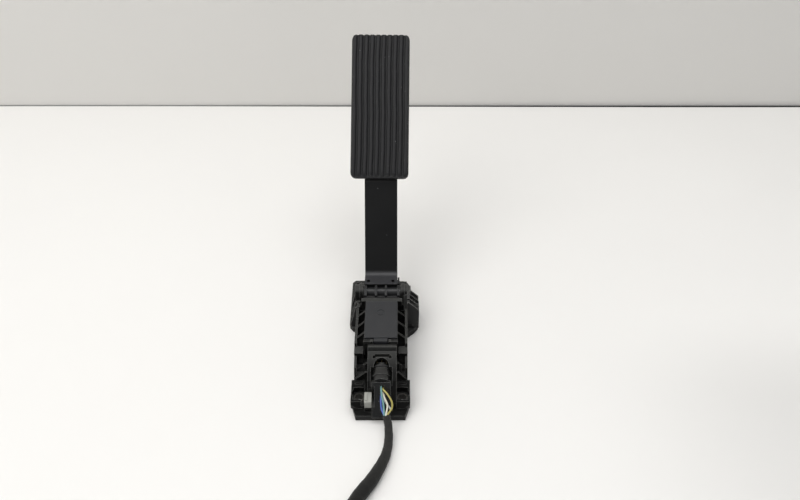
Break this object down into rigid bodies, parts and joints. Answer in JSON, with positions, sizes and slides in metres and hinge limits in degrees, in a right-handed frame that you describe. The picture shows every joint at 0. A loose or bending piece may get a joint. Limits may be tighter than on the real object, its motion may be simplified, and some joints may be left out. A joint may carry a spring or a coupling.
{
  "type": "accelerator pedal",
  "caption": "Electronic accelerator pedal module: ribbed rubber pad on a bent steel arm, sprung pivot housing with angle sensor, plug and taped wire tail.",
  "frame": {"origin": "centre of the four floor bolt holes on the mounting face", "axes": "+Z out of the mounting face, +Y from the front feet towards the pad, +X to the right of the pad face"},
  "size_m": [0.065, 0.3546, 0.2114],
  "materials": {
    "housing_plastic": "matte moulded",
    "cover_plastic": "fine grained",
    "sensor_plastic": "matte moulded",
    "hub_plastic": "matte moulded",
    "plug_plastic": "satin",
    "backing_plastic": "matte moulded",
    "arm_paint": "satin black paint",
    "pad_rubber": "matte",
    "seal_rubber": "matte",
    "stop_rubber": "matte",
    "spring_steel": "drawn wire",
    "bright_steel": "zinc plated",
    "bush_plastic": "self lubricating",
    "seat_plastic": "friction lining",
    "magnet_metal": "sintered",
    "board_green": "solder mask",
    "terminal_brass": "tinned",
    "lock_plastic": "light grey",
    "wire_teal": "satin",
    "wire_yellow": "satin",
    "wire_white": "satin",
    "wire_blue": "satin",
    "wire_grey": "satin",
    "cloth_tape": "woven cloth tape"
  },
  "bodies": {
    "base": {"housing": "housing_plastic", "front_cover": "cover_plastic", "sensor_cover": "sensor_plastic", "sensor_screws": "bright_steel", "left_bush": "bush_plastic", "right_bush": "bush_plastic", "return_spring_outer": "spring_steel", "return_spring_inner": "spring_steel", "spring_cup": "seat_plastic", "sensor_board": "board_green", "lead_frame": "terminal_brass", "bolt_sleeves": "bright_steel", "idle_bumper": "stop_rubber", "travel_bumper": "stop_rubber", "plug_body": "plug_plastic", "plug_seal": "seal_rubber", "wire_teal": "wire_teal", "wire_yellow": "wire_yellow", "wire_white": "wire_white", "wire_blue": "wire_blue", "wire_grey": "wire_grey", "harness_sleeve": "cloth_tape"},
    "pedal": {"pedal_hub": "hub_plastic", "pivot_shaft": "bright_steel", "pedal_arm": "arm_paint", "arm_rivets": "arm_paint", "pad_plate": "backing_plastic", "pad_rivets": "bright_steel", "rubber_pad": "pad_rubber", "spring_seat": "seat_plastic", "magnet_carrier": "bright_steel", "sensor_magnet": "magnet_metal"},
    "lock": {"wire_lock": "lock_plastic"}
  },
  "joints": [
    {"name": "pedal_pivot", "type": "hinge", "parent": "base", "child": "pedal", "pos_m": [0, 0.0295, 0.038], "axis": [-1, 0, 0], "range_deg": [0, 18], "stiffness_Nm_per_rad": 12, "springref_deg": -18.91, "deforming": ["return_spring_outer", "return_spring_inner"]},
    {"name": "lock_slide", "type": "slide", "parent": "base", "child": "lock", "axis": [-1, 0, 0], "range_m": [0, 0.0025]}
  ]
}
